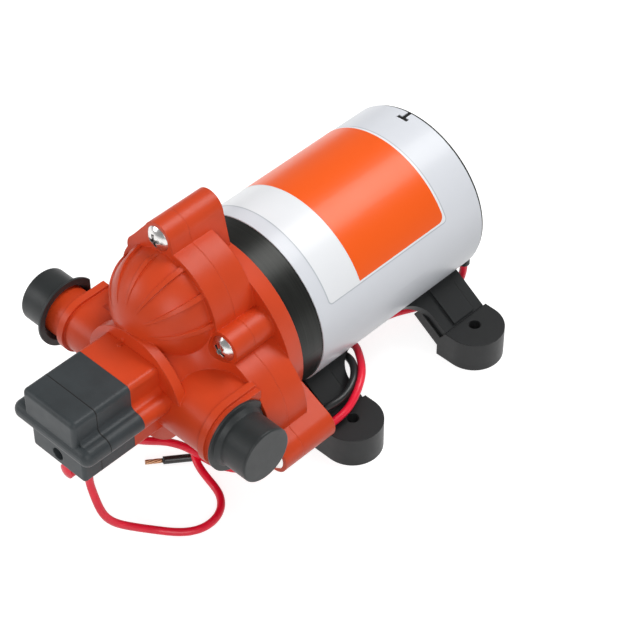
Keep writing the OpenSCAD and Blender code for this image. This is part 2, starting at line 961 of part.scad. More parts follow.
// The rear cover: a thin rim, a raised middle and a thick corner where the leads come out
module end_bell() {
  pocket_wall_r = bearing_r + bearing_boss_wall;
  color(black)
    difference() {
      head()
        difference() {
          union() {
            ring(z_bell - bell_rim_t, z_bell, bell_r);
            ring(z_bell - bell_t, z_bell, bell_boss_r);
            intersection() {
              ring(z_bell - bell_t, z_bell, can_r - 0.5);
              block([outlet_low[0], outlet_low[1], z_bell - bell_t - 1],
                    [outlet_high[0], outlet_high[1], z_bell + 1]);
            }
            ring(z_bell - eps, z_rear + bell_plug, can_in - seat_gap);
            ring(z_bell - bell_t - bell_cap_t, z_bell, bearing_r - 2);
            ring(z_rear, z_rear_bearing + bearing_w, pocket_wall_r);
          }
          ring(z_rear_bearing, z_rear_bearing + 2 * bearing_w, bearing_r + seat_gap);
          ring(z_rear + bell_floor, z_rear + 2 * bell_plug, can_in - 3, pocket_wall_r);
        }
      grommet_shapes(seat_gap);
    }
}

// Both grommets, upright in the underside of the rear cover where the leads start
module grommet_shapes(gap = 0) {
  for (route = [motor_red_route, motor_black_route])
    translate(route[0])
      cylinder(h = grommet_run + gap, r = grommet_r + gap);
}

module lead_grommets() {
  color(black)
    grommet_shapes();
}

// Section of a leg in the plane of the slope: wide at the cradle, straight at the foot
module leg_plan() {
  hw = foot_r - 1;
  translate([-leg_back, -hw])
    square([leg_back + leg_len, 2 * hw]);
  translate([-leg_back, hw])
    difference() {
      square([leg_fillet_r + leg_back, leg_fillet_r]);
      translate([leg_fillet_r + leg_back, leg_fillet_r])
        circle(r = leg_fillet_r);
    }
}

// Frame of the right rear leg: x down the slope, y to the front, z square to its top face
module leg_frame() {
  translate([leg_root[0], foot_y, leg_root[1]])
    rotate([0, leg_slope, 0])
      children();
}

// The same thing at all four corners
module four_corners() {
  for (x = [0, 1], y = [0, 1])
    mirror([x, 0, 0])
      mirror([0, y, 0])
        children();
}

module leg() {
  leg_frame() {
    translate([0, 0, -pad_h - leg_wall])
      mirror([0, 1, 0])
        linear_extrude(leg_wall)
          leg_plan();
    translate([-leg_back / 2, -pad_w / 2, -pad_h - eps])
      cube([leg_len + leg_back / 2 - 1, pad_w, pad_h]);
  }
}

module base_cradle() {
  outer = sleeve_r + cradle_gap + cradle_wall;
  color(black)
    difference() {
      union() {
        translate([0, cradle_len / 2, axis_h])
          rotate([90, 0, 0])
            linear_extrude(cradle_len)
              intersection() {
                circle(r = outer);
                polygon([
                  [0, 0],
                  2 * outer * [cos(-90 - cradle_turn), sin(-90 - cradle_turn)],
                  2 * outer * [0, -1],
                  2 * outer * [cos(cradle_turn - 90), sin(cradle_turn - 90)]
                ]);
              }
        four_corners()
          cradle_arm();
        four_corners()
          leg();
      }
      translate([0, sleeve_len, axis_h])
        rotate([90, 0, 0])
          cylinder(h = 2 * sleeve_len, r = sleeve_r + cradle_gap);
    }
}

// The band of the cradle that climbs the motor to the root of a leg
module cradle_arm() {
  outer = sleeve_r + cradle_gap + cradle_wall;
  hw = foot_r - 2;
  translate([0, foot_y + hw, axis_h])
    rotate([90, 0, 0])
      linear_extrude(2 * hw)
        intersection() {
          circle(r = outer);
          polygon([
            [0, 0], 2 * outer * [0, -1], 2 * outer * [cos(-60), sin(-60)],
            2 * outer * [cos(leg_turn - 4), sin(leg_turn - 4)]
          ]);
        }
}

// A rubber foot: a round-ended block with a neck under the leg
module foot() {
  difference() {
    union() {
      translate([foot_x, foot_y, 0])
        cylinder(h = foot_h, r = foot_r);
      block([foot_x - foot_inner, foot_y - foot_r, 0], [foot_x, foot_y + foot_r, foot_h]);
      intersection() {
        leg_frame()
          block([leg_len / 4, -foot_r, -pad_h - leg_wall - foot_neck_t],
                [leg_len + 2, foot_r, -pad_h - leg_wall / 2]);
        block([0, 0, 0], [foot_x, foot_y + foot_r, axis_h]);
      }
    }
    leg_frame()
      block([-leg_len, -foot_r - 1, -pad_h - leg_wall - seat_gap],
            [leg_len + seat_gap, foot_r + 1, leg_len]);
    translate([foot_x, foot_y, -1])
      cylinder(h = foot_h + 2, r = foot_hole_r);
  }
}

module rubber_feet() {
  color(black)
    four_corners()
      foot();
}

// A point of a route, and the direction of the route there
function at(route, i) = route[max(0, min(len(route) - 1, i))];
function unit(v) = v / norm(v);
function heading(path, i) = unit(at(path, i + 1) - at(path, i - 1));
function aside(d) = unit(cross(d, abs(d[2]) > 0.9 ? [1, 0, 0] : [0, 0, 1]));

// The side direction carried along a path without twisting
function carried(path, i) =
  i == 0 ? aside(heading(path, 0)) :
  let (before = carried(path, i - 1), d = heading(path, i))
  unit(before - d * (before * d));

// A round lead along a path, as one closed surface
module lead(path, r) {
  n = lead_sides;
  last = len(path) - 1;
  points = [
    for (i = [0 : last])
      let (d = heading(path, i), u = carried(path, i), v = cross(d, u))
      for (k = [0 : n - 1])
        path[i] + r * (u * cos(360 * k / n) + v * sin(360 * k / n))
  ];
  sides = [
    for (i = [0 : last - 1], k = [0 : n - 1])
      let (a = i * n + k, b = i * n + (k + 1) % n)
      each [[a, b, b + n], [a, b + n, a + n]]
  ];
  ends = [
    for (k = [1 : n - 2])
      each [[0, k + 1, k], [last * n, last * n + k, last * n + k + 1]]
  ];
  polyhedron(points, concat(sides, ends));
}

module motor_lead_red() {
  color(red)
    lead(motor_red_route, lead_r);
}

module motor_lead_black() {
  color(black)
    lead(motor_black_route, lead_r);
}

module supply_lead_red() {
  color(red)
    lead(supply_red_route, lead_r);
}

// The stripped end of a lead, in line with its last stretch
module bare_end(route) {
  d = heading(route, len(route) - 1);
  translate(route[len(route) - 1])
    rotate([0, acos(d[2]), atan2(d[1], d[0])])
      cylinder(h = bare_len, r = bare_r);
}

module bare_lead_ends() {
  color("#B87444") {
    bare_end(motor_black_route);
    bare_end(supply_red_route);
  }
}

// The diaphragm: a clamped rim, a folded ring round each piston and the tilted discs in them
module diaphragm() {
  color("#1E1F20") {
    head() {
      difference() {
        linear_extrude(diaphragm_t)
          cell_outline(diaphragm_r, drive_r - 1);
        for (a = lobes)
          polar(a, cell_pitch)
            ring(-1, diaphragm_t + 1, fold_r - eps);
      }
      for (a = lobes)
        polar(a, cell_pitch) {
          ring(z_centre - fold_depth, diaphragm_t, fold_r, fold_r - fold_wall);
          ring(z_centre - fold_depth, z_centre - fold_depth + fold_wall, fold_r, fold_in);
        }
    }
    difference() {
      head()
        for (a = lobes)
          polar(a, cell_pitch)
            ring(z_centre - fold_depth, z_centre + fold_depth, fold_in + fold_wall, fold_in);
      wobble()
        ring(diaphragm_t / 2, 30, 4 * cell_pitch);
    }
    wobble()
      for (a = lobes)
        polar(a, cell_pitch)
          ring(-diaphragm_t / 2, diaphragm_t / 2, fold_in + fold_wall / 2, stud_hole_r);
  }
}

module valve_plate() {
  color("#303234")
    head()
      difference() {
        translate([0, 0, diaphragm_t])
          linear_extrude(valve_plate_t)
            cell_outline(plate_r, drive_r - 1);
        for (a = lobes) {
          polar(a, cell_pitch)
            ring(diaphragm_t - 1, z_plate - pocket_floor, pocket_r);
          polar(a, inlet_pitch)
            ring(0, z_plate + 1, stem_r + seat_gap);
          for (turn = [-14, 14])
            polar(a + turn, inlet_pitch)
              ring(0, z_plate + 1, stem_r);
          polar(a, outlet_r - 3)
            ring(0, z_plate + 1, stem_r);
        }
        ring(0, z_plate + 1, stem_r + seat_gap);
      }
}

// A rubber umbrella valve: its skirt lies on the plate and its stem runs through
module umbrella(r, skirt_z0, skirt_z1, stem_z0, stem_z1) {
  ring(skirt_z0, skirt_z1, r);
  ring(stem_z0, stem_z1, stem_r);
}

module inlet_valves() {
  floor_z = z_plate - pocket_floor;
  color("#55585A")
    head()
      for (a = lobes)
        polar(a, inlet_pitch)
          umbrella(inlet_r, floor_z - inlet_t, floor_z, floor_z - eps, z_plate + 1);
}

module outlet_valve() {
  color("#55585A")
    head()
      umbrella(outlet_r - 1.5, z_plate, z_plate + 1.2, z_plate - valve_plate_t / 2, z_plate + eps);
}

module valve_seal() {
  color("#1E1F20")
    head()
      ring(z_plate, z_plate + seal_t, seal_out, seal_in);
}

// Plan of the wobble plate: a round hub with an arm and a disc to each chamber
module wobble_plan() {
  circle(r = bearing_r + hub_wall);
  for (a = lobes) {
    polar(a, cell_pitch)
      circle(r = arm_r);
    rotate(a)
      translate([0, -arm_w / 2])
        square([cell_pitch, arm_w]);
  }
}

module wobble_plate() {
  color("#C9CCCE")
    wobble()
      difference() {
        union() {
          translate([0, 0, arm_back])
            linear_extrude(arm_t)
              wobble_plan();
          ring(hub_back, arm_back + eps, bearing_r + hub_wall);
          for (a = lobes)
            polar(a, cell_pitch)
              ring(arm_front - eps, -clamp_z, arm_r);
        }
        ring(hub_back - 1, hub_front, bearing_r + seat_gap);
        for (a = lobes)
          polar(a, cell_pitch)
            ring(arm_back - 1, 0, piston_screw_r + seat_gap);
      }
}

module pistons() {
  front = clamp_z + piston_t;
  color("#E6E2D8")
    wobble()
      for (a = lobes)
        polar(a, cell_pitch)
          difference() {
            union() {
              ring(clamp_z, front, piston_r);
              ring(-clamp_z, clamp_z + eps, stud_r);
            }
            ring(-clamp_z - 1, front + 1, piston_screw_r + seat_gap);
            ring(front - piston_head_t, front + 1, piston_head_r + seat_gap);
          }
}

module piston_screws() {
  front = clamp_z + piston_t;
  color(steel)
    wobble()
      for (a = lobes)
        polar(a, cell_pitch) {
          ring(front - piston_head_t, front - 0.2, piston_head_r);
          ring(arm_back, front - piston_head_t + eps, piston_screw_r);
        }
}

module cam_bearing() {
  color(steel)
    wobble()
      ring(hub_back, hub_front - seat_gap, bearing_r, shaft_r + run_gap);
}

// The hub on the shaft, with a journal tilted to the wobble plate's axis
module cam_hub() {
  color("#8E9192") {
    wobble()
      ring(hub_back - 1.5, hub_front - soft_gap, shaft_r);
    head()
      ring(z_can + 1, shaft_nose + eps, cam_collar_r, shaft_r + seat_gap);
    head()
      ring(shaft_nose, cam_front, cam_collar_r);
  }
}

module motor_shaft() {
  color(steel)
    head()
      ring(shaft_tail, shaft_nose, shaft_r);
}

module armature_core() {
  color("#7C7F80")
    head()
      difference() {
        ring(core_back, core_front, core_r, shaft_r + seat_gap);
        for (k = [0 : slot_n - 1])
          rotate(360 * k / slot_n)
            block([core_r - slot_d, -slot_w / 2, core_back - 1], [core_r + 1, slot_w / 2, core_front + 1]);
      }
}

// The end turns of the winding, at both ends of the core
module armature_windings() {
  edge = 4;
  color("#B5652B")
    head()
      for (z = [core_front, core_back - winding_run])
        translate([0, 0, z])
          rotate_extrude()
            translate([(winding_in + winding_out) / 2, 0])
              round_rect((winding_out - winding_in) / 2, 0, winding_run, edge);
}

module commutator() {
  color("#B87444")
    head()
      ring(comm_back, comm_front, comm_r, shaft_r + seat_gap);
}

module front_plate() {
  pocket_wall_r = bearing_r + bearing_boss_wall;
  color("#9A9DA0")
    head()
      difference() {
        union() {
          ring(z_can - plate_t, z_can, can_in - seat_gap);
          ring(z_front_bearing, z_can, pocket_wall_r);
        }
        ring(z_front_bearing - 1, z_can - bearing_lip, bearing_r + seat_gap);
        ring(z_can - plate_t, z_can + 1, shaft_hole_r);
      }
}

module motor_bearings() {
  color(steel)
    head() {
      ring(z_front_bearing, z_front_bearing + bearing_w, bearing_r, shaft_r + run_gap);
      ring(z_rear_bearing, z_rear_bearing + bearing_w, bearing_r, shaft_r + run_gap);
    }
}

module magnets() {
  color("#3A3A3C")
    head()
      for (turn = [0, 180])
        rotate(turn - magnet_arc / 2)
          translate([0, 0, core_back - 2])
            rotate_extrude(angle = magnet_arc)
              translate([magnet_in, 0])
                square([magnet_t, core_len + 4]);
}

// The channel of one brush, from the commutator outwards
module brush_channel(x0, x1, grow) {
  mid = (comm_front + comm_back) / 2;
  block([x0, -brush_w / 2 - grow, mid - brush_t / 2 - grow],
        [x1, brush_w / 2 + grow, mid + brush_t / 2 + grow]);
}

module brush_card() {
  out = brush_end + brush_room + holder_wall;
  hole_r = bearing_r + bearing_boss_wall + 0.5;
  color("#4B3B2C")
    head()
      difference() {
        union() {
          ring(card_back, card_front, can_in - seat_gap, hole_r);
          for (turn = [0, 180])
            rotate(turn) {
              brush_channel(comm_r + 1.5, out, holder_wall);
              block([hole_r + 0.5, -brush_w / 2, card_back],
                    [out, brush_w / 2, (comm_front + comm_back) / 2]);
            }
        }
        for (turn = [0, 180])
          rotate(turn)
            brush_channel(0, out - holder_wall, seat_gap);
      }
}

module brushes() {
  color("#232323")
    head()
      for (turn = [0, 180])
        rotate(turn)
          difference() {
            brush_channel(comm_r / 2, brush_end, 0);
            ring(comm_back - 1, comm_front + 1, comm_r + run_gap);
          }
}

module brush_springs() {
  mid = (comm_front + comm_back) / 2;
  color(steel)
    head()
      for (turn = [0, 180])
        rotate(turn)
          translate([brush_end, 0, mid])
            rotate([0, 90, 0])
              cylinder(h = brush_room, r = brush_w / 2 - 0.6);
}

module pressure_diaphragm() {
  color("#1E1F20")
    head()
      translate([0, -adjust_drop, 0])
        ring(disc_front - pressure_t, disc_front, pressure_r);
}

module switch_plunger() {
  color("#E6E2D8")
    head() {
      translate([0, -adjust_drop, 0]) {
        ring(disc_front + run_gap, z_flange + eps, plunger_r);
        ring(z_flange, z_flange + plunger_flange_t, plunger_flange_r);
      }
      block([-arm_hw, -adjust_drop, z_flange], [arm_hw, arm_top, z_flange + plunger_flange_t]);
    }
}

// A helix between the plunger's flange and the adjusting screw
module switch_spring() {
  z0 = z_flange + plunger_flange_t + spring_wire_r;
  z1 = z_adjust - spring_wire_r;
  steps = 8 * spring_turns;
  sides = 6;
  pitch = (z1 - z0) / spring_turns;
  echo(least_spring_gap = pitch - 2 * spring_wire_r);
  points = [
    for (i = [0 : steps])
      let (t = 360 * spring_turns * i / steps, z = z0 + (z1 - z0) * i / steps)
      for (k = [0 : sides - 1])
        let (rr = spring_r + spring_wire_r * cos(360 * k / sides))
        [rr * cos(t), rr * sin(t), z + spring_wire_r * sin(360 * k / sides)]
  ];
  skin = [
    for (i = [0 : steps - 1], k = [0 : sides - 1])
      let (a = i * sides + k, b = i * sides + (k + 1) % sides)
      each [[a, b + sides, b], [a, a + sides, b + sides]]
  ];
  ends = [
    for (k = [1 : sides - 2])
      each [[0, k, k + 1], [steps * sides, steps * sides + k + 1, steps * sides + k]]
  ];
  color(steel)
    head()
      translate([0, -adjust_drop, 0])
        polyhedron(points, concat(skin, ends));
}

module adjusting_screw() {
  socket_r = 1.4;
  color(steel)
    head()
      translate([0, -adjust_drop, 0])
        difference() {
          ring(z_adjust, z_adjust + adjust_len, adjust_r);
          translate([0, 0, z_adjust + adjust_len - 3])
            cylinder(h = 4, r = socket_r, $fn = 6);
        }
}

module micro_switch() {
  color("#26282A")
    head()
      difference() {
        translate([-switch_size[0] / 2, switch_y, z_switch])
          cube(switch_size);
        translate([0, button_y, 0])
          ring(z_switch - 1, z_switch + 4.5, button_r + run_gap);
      }
}

module switch_button() {
  color("#C8102E")
    head()
      translate([0, button_y, 0])
        ring(z_flange + plunger_flange_t + run_gap, z_flange + plunger_flange_t + button_run, button_r);
}

module switch_tabs() {
  color("#B9A24A")
    head()
      for (s = [-1, 1])
        translate([s * tab_x - tab_size[0] / 2, switch_y + switch_size[1] / 2, z_switch + switch_size[2]])
          cube(tab_size);
}

upper_housing();
lower_housing();
long_screws();
short_screws();
switch_housing();
boot_rear();
boot_front();
red_terminal();
left_port_cap();
right_port_cap();
motor_can();
motor_sleeve();
end_bell();
base_cradle();
rubber_feet();
lead_grommets();
motor_lead_red();
motor_lead_black();
supply_lead_red();
bare_lead_ends();
diaphragm();
valve_plate();
inlet_valves();
outlet_valve();
valve_seal();
wobble_plate();
pistons();
piston_screws();
cam_bearing();
cam_hub();
motor_shaft();
armature_core();
armature_windings();
commutator();
front_plate();
motor_bearings();
magnets();
brush_card();
brushes();
brush_springs();
pressure_diaphragm();
switch_plunger();
switch_spring();
adjusting_screw();
micro_switch();
switch_button();
switch_tabs();
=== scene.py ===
"""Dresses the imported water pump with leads, label, boot seam, moulding pip and switch spring.

It also gives every piece its finish and sets up a plain pale studio with the photo's own camera.
"""

import math

import bpy
import numpy as np
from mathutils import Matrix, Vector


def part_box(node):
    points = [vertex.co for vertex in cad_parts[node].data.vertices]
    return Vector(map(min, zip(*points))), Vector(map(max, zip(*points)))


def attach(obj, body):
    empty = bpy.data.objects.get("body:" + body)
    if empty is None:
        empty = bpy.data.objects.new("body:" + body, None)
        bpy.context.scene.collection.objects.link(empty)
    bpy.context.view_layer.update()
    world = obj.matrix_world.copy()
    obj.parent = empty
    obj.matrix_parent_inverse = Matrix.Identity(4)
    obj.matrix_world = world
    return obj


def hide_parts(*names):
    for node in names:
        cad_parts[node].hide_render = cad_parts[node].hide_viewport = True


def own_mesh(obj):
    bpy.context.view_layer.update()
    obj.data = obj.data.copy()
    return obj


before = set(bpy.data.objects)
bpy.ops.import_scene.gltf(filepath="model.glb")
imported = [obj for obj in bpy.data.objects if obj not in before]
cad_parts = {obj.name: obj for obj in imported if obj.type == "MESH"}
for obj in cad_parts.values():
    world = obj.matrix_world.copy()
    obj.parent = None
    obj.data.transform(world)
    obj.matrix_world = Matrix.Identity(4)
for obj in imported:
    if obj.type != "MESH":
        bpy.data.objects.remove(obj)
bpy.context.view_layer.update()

bl_info = {
    "name": "Water pump dressing",
    "version": (1, 0, 0),
    "blender": (4, 5, 0),
    "location": "View3D > Sidebar > Pump",
    "description": "Leads, label, boot seam, switch spring and finishes "
    "for a small diaphragm water pump",
    "category": "Object",
}

MM = 0.001

# The motor and the boot in the part's frame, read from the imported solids
SLEEVE_LOW, SLEEVE_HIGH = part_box("motor_sleeve")
SLEEVE_R = (SLEEVE_HIGH[0] - SLEEVE_LOW[0]) / 2
AXIS_Z = (SLEEVE_HIGH[2] + SLEEVE_LOW[2]) / 2
SLEEVE_FRONT = SLEEVE_LOW[1]
BOOT_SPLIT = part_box("boot_rear")[0][1]

# Routes of the leads in millimetres, the same points as the solids follow
MOTOR_RED_ROUTE = [
    (26, 53.9, 22), (26, 53.9, 20.4), (25.9, 52, 13.4), (24.8, 46.9, 8.3), (22, 40.3, 6),
    (16.6, 30, 5.3), (12.8, 20, 5.2), (12.6, 6, 5.5), (14.8, -2, 9), (24.2, -9.5, 18),
    (33, -16, 22.4), (39.6, -22, 23.4), (44.6, -30, 22), (46.4, -38, 18.6), (46.2, -44, 17.3),
    (45.3, -49.7, 15.3), (42.4, -56.6, 9.5), (35, -67, 3.1), (26, -79, 1.9), (18, -84.6, 4.6),
    (11, -89.5, 10.5), (6, -96, 15.5), (4, -103, 20), (2.6, -110, 25.4), (1.8, -116.5, 30.2),
    (1.5, -121.5, 31.6), (1.5, -126.2, 31.6),
]
MOTOR_BLACK_ROUTE = [
    (17, 53.9, 15), (17, 53.9, 14.2), (16.9, 52.2, 8), (16.2, 47.6, 3.8), (14.8, 41.9, 2),
    (11.6, 30, 1.7), (9.9, 16, 1.7), (9.8, 4, 1.8), (11.2, -3.5, 3.3), (14.9, -10, 8.3),
    (24, -16.4, 18.2), (33, -20.4, 22.6), (40, -27.4, 23), (42.4, -36.1, 21.5),
    (40.9, -44.4, 20.1), (38.6, -50.7, 15.7), (35, -57, 8.2), (28, -67, 2.8), (20, -75, 1.8),
    (13, -82.4, 1.7), (7.6, -89, 1.7), (2.6, -95.4, 1.7),
]
SUPPLY_RED_ROUTE = [
    (12, -139.2, 37), (12, -139.2, 33), (14, -139.2, 26), (18, -138.2, 17), (22, -130.7, 8.2),
    (28, -121.5, 2.8), (34.3, -115.3, 1.7), (38.1, -109.2, 1.6), (38.7, -102.8, 1.6),
    (36.4, -97, 1.6), (31.4, -92.6, 1.7), (23.8, -90.4, 2.2), (15.5, -88.8, 4.3),
    (9.4, -84.8, 4.6), (5.8, -78.3, 3.2), (6.2, -68.1, 1.9), (9, -54, 1.6), (10.6, -40, 1.6),
]
LEAD_SIDES = 20

# A direction that no path of a tube runs along
SLANT = (0.83, 0.51, 0.23)

# A stripped end: strands wound round a straight one, their distance from it in strand radii
# and the angle in radians that they wind along the bare length
STRANDS_ROUND = 6
STRAND_SPACING = 1.9
STRAND_TWIST = 2.2
STRAND_STEPS, STRAND_SIDES = 14, 8

# The clear rim round the label's sheet in millimetres, the panel's inset in degrees, and the grid
RIM_WIDTH = 0.5
PANEL_INSET = 1.2
CORNER_STEPS, LABEL_ROWS, LABEL_COLUMNS = 8, 30, 97

# Points on each rounded corner of the boot's section
ARC_STEPS = 9

# The moulding pip: its centre on the front of the neck's disc in millimetres, its height and
# depth in half widths, the angles from its tip where its rows begin and end, and the grid
PIP_CENTRE = (-4.6, -104.2, 69.5)
PIP_HEIGHT, PIP_DEPTH = 1.3, 0.7
PIP_TIP, PIP_FOOT = 0.02, 0.55 * math.pi
PIP_ROWS, PIP_COLUMNS = 12, 28

SPRING_STEPS_PER_TURN, SPRING_SIDES = 32, 10

# The photo's camera, solved from its outlines, in millimetres and degrees; its reach is in metres
CAMERA_SENSOR, CAMERA_LENS = 36, 126.63
CAMERA_PLACE = (454.96, -475.24, 656.44)
CAMERA_DOWN, CAMERA_ROUND = 44.53, 44.03
CAMERA_REACH = 20

# The studio, in metres
WHITE = (1, 1, 1, 1)
FLOOR_HALF, FLOOR_GLOW = 3.0, 0.82
WALL_RADIUS, WALL_HEIGHT, WALL_SIDES = 2.9, 4.0, 96
WORLD_GLOW = 0.34
LIGHT_AIM = (0, -0.04, 0.05)

# Name, place, diameter and watts of each light
SOFTBOXES = [
    ("top_softbox", (0.15, 0.5, 1.05), 0.7, 7.0),
    ("front_left_softbox", (-0.8, -0.9, 0.55), 0.6, 3.5),
    ("right_fill", (0.8, -0.75, 0.65), 0.7, 5.0),
]


# Colour and node helpers


def linear(hex_colour):
    """An sRGB hex colour as linear RGBA."""
    srgb = np.array([int(hex_colour[i : i + 2], 16) for i in (1, 3, 5)]) / 255
    low = srgb / 12.92
    high = ((srgb + 0.055) / 1.055) ** 2.4
    return (*np.where(srgb <= 0.04045, low, high), 1.0)


def add(tree, kind, links=None, **settings):
    """Adds a node: settings are attributes or input values, links are {input: output socket}."""
    made = tree.nodes.new(kind)
    for key, value in settings.items():
        if hasattr(made, key):
            setattr(made, key, value)
        else:
            made.inputs[key.replace("_", " ")].default_value = value
    for socket, source in (links or {}).items():
        tree.links.new(source, made.inputs[socket])
    return made


def new_material(name, **principled):
    """A material with values set on its Principled sockets; returns it, its tree and the shader."""
    material = bpy.data.materials.new(name)
    material.use_nodes = True
    tree = material.node_tree
    shader = tree.nodes["Principled BSDF"]
    for key, value in principled.items():
        shader.inputs[key.replace("_", " ")].default_value = value
    return material, tree, shader


def object_noise(tree, size_mm, detail=4.0, stretch=(1, 1, 1)):
    """Noise on Object coordinates: features of about size_mm, divided by stretch on each axis."""
    coordinates = add(tree, "ShaderNodeTexCoord")
    mapping = add(tree, "ShaderNodeMapping", {"Vector": coordinates.outputs["Object"]})
    mapping.inputs["Scale"].default_value = [s / (size_mm * MM) for s in stretch]
    vector = {"Vector": mapping.outputs["Vector"]}
    return add(tree, "ShaderNodeTexNoise", vector, Scale=1.0, Detail=detail)


def tint(tree, shader, noise, colour, spread):
    """Colours the shader about a linear colour, darker and lighter by a share set by a noise."""
    ramp = add(tree, "ShaderNodeValToRGB", {"Fac": noise.outputs["Fac"]})
    stops = zip(ramp.color_ramp.elements, (0.3, 0.7), (1 - spread, 1 + spread))
    for element, place, share in stops:
        element.position = place
        element.color = (*[min(1.0, share * c) for c in colour[:3]], 1.0)
    tree.links.new(ramp.outputs["Color"], shader.inputs["Base Color"])


def rough(tree, shader, noise, low, high):
    """Varies the shader's roughness between two values by a noise."""
    value = {"Value": noise.outputs["Fac"]}
    spread = add(tree, "ShaderNodeMapRange", value, To_Min=low, To_Max=high)
    tree.links.new(spread.outputs["Result"], shader.inputs["Roughness"])


def surface(tree, shader, noise, depth_mm, edge_mm=0.0):
    """Bumps the shader by a noise of some depth, over edges rounded to some radius."""
    height = {"Height": noise.outputs["Fac"]}
    bump = add(tree, "ShaderNodeBump", height, Strength=1.0, Distance=depth_mm * MM)
    if edge_mm:
        edge = add(tree, "ShaderNodeBevel", samples=6, Radius=edge_mm * MM)
        tree.links.new(edge.outputs["Normal"], bump.inputs["Normal"])
    tree.links.new(bump.outputs["Normal"], shader.inputs["Normal"])


# Materials, each named for what it is and how its surface was made


def moulded_nylon(name, colour, roughness):
    """Glass-filled nylon from a satin mould: a soft gloss, a faint flow mottle and a fine grain."""
    material, tree, shader = new_material(name, IOR=1.53, Specular_IOR_Level=0.26)
    tint(tree, shader, object_noise(tree, 22), colour, spread=0.07)
    rough(tree, shader, object_noise(tree, 6), low=roughness - 0.06, high=roughness + 0.08)
    # The grain is about 0.1 mm on the real part and is drawn at 0.7 mm so that it shows
    surface(tree, shader, object_noise(tree, 0.7, detail=2.0), depth_mm=0.012, edge_mm=0.45)
    return material


def moulded_rubber(name, colour, roughness):
    """Moulded rubber: nearly matt, with a greyish bloom in patches and soft edges."""
    material, tree, shader = new_material(
        name, IOR=1.5, Specular_IOR_Level=0.4, Sheen_Weight=0.08, Sheen_Roughness=0.5
    )
    tint(tree, shader, object_noise(tree, 9, detail=6.0), colour, spread=0.16)
    rough(tree, shader, object_noise(tree, 4), low=roughness - 0.08, high=roughness + 0.08)
    # The moulded grain is about 0.05 mm on the real part and is drawn at 0.5 mm so that it shows
    surface(tree, shader, object_noise(tree, 0.5, detail=2.0), depth_mm=0.012, edge_mm=0.5)
    return material


def vinyl_film(name, colour, roughness):
    """Smooth printed vinyl film: a clear gloss over an even colour with slight ripples."""
    material, tree, shader = new_material(
        name, IOR=1.5, Specular_IOR_Level=0.38, Coat_Weight=0.1, Coat_Roughness=0.12
    )
    tint(tree, shader, object_noise(tree, 30), colour, spread=0.02)
    rough(tree, shader, object_noise(tree, 9), low=roughness - 0.03, high=roughness + 0.05)
    surface(tree, shader, object_noise(tree, 14, detail=0.0), depth_mm=0.012)
    return material


def blackened_steel(name, colour):
    """Drawn steel can with a dark plating: fine polishing rings round the can and a wide gloss."""
    material, tree, shader = new_material(name, Metallic=0.5, Specular_IOR_Level=0.32)
    rings = object_noise(tree, 0.6, detail=3.0, stretch=(0.02, 1, 0.02))
    tint(tree, shader, rings, colour, spread=0.25)
    rough(tree, shader, rings, low=0.29, high=0.41)
    surface(tree, shader, rings, depth_mm=0.006, edge_mm=0.3)
    return material


def bright_metal(name, colour, roughness):
    """Bright machined metal: fine tool marks vary its gloss, and painted shade darkens its recesses.
    """
    material, tree, shader = new_material(name, Metallic=1.0)
    tint(tree, shader, object_noise(tree, 3), colour, spread=0.1)
    # Painted shade: ambient occlusion darkens the base colour in recesses and crevices
    tinted = {"Color": shader.inputs["Base Color"].links[0].from_socket}
    recess_shade = add(tree, "ShaderNodeAmbientOcclusion", tinted, Distance=1.6 * MM)
    tree.links.new(recess_shade.outputs["Color"], shader.inputs["Base Color"])
    rough(tree, shader, object_noise(tree, 1.2), low=roughness - 0.05, high=roughness + 0.1)
    surface(tree, shader, object_noise(tree, 0.4, detail=2.0), depth_mm=0.004, edge_mm=0.2)
    return material


def extruded_pvc(name, colour):
    """Extruded PVC insulation: smooth and softly glossy, with slight waves along the lead."""
    material, tree, shader = new_material(name, IOR=1.54)
    tint(tree, shader, object_noise(tree, 8), colour, spread=0.1)
    rough(tree, shader, object_noise(tree, 3), low=0.28, high=0.4)
    surface(tree, shader, object_noise(tree, 2.5, detail=1.0), depth_mm=0.02)
    return material


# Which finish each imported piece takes
FINISHES = {
    "orange_nylon": ["upper_housing", "lower_housing", "switch_housing"],
    "slate_rubber": ["boot_rear", "boot_front"],
    "cap_rubber": ["left_port_cap", "right_port_cap"],
    "black_rubber": [
        "rubber_feet", "lead_grommets", "diaphragm", "inlet_valves", "outlet_valve", "valve_seal",
        "pressure_diaphragm",
    ],
    "black_nylon": ["base_cradle", "valve_plate", "brush_card", "micro_switch", "brushes"],
    "black_paint": ["end_bell"],
    "white_film": ["motor_sleeve"],
    "blackened_steel": ["motor_can"],
    "stainless": [
        "long_screws", "short_screws", "piston_screws", "adjusting_screw", "switch_spring",
        "brush_springs", "cam_bearing", "motor_bearings", "motor_shaft", "cam_hub",
    ],
    "red_pvc": ["motor_lead_red", "supply_lead_red", "red_terminal", "switch_button"],
    "black_pvc": ["motor_lead_black"],
    "copper": ["bare_lead_ends", "armature_windings", "commutator", "switch_tabs"],
    "white_nylon": ["pistons", "switch_plunger"],
    "cast_alloy": ["wobble_plate", "front_plate", "armature_core", "magnets"],
}


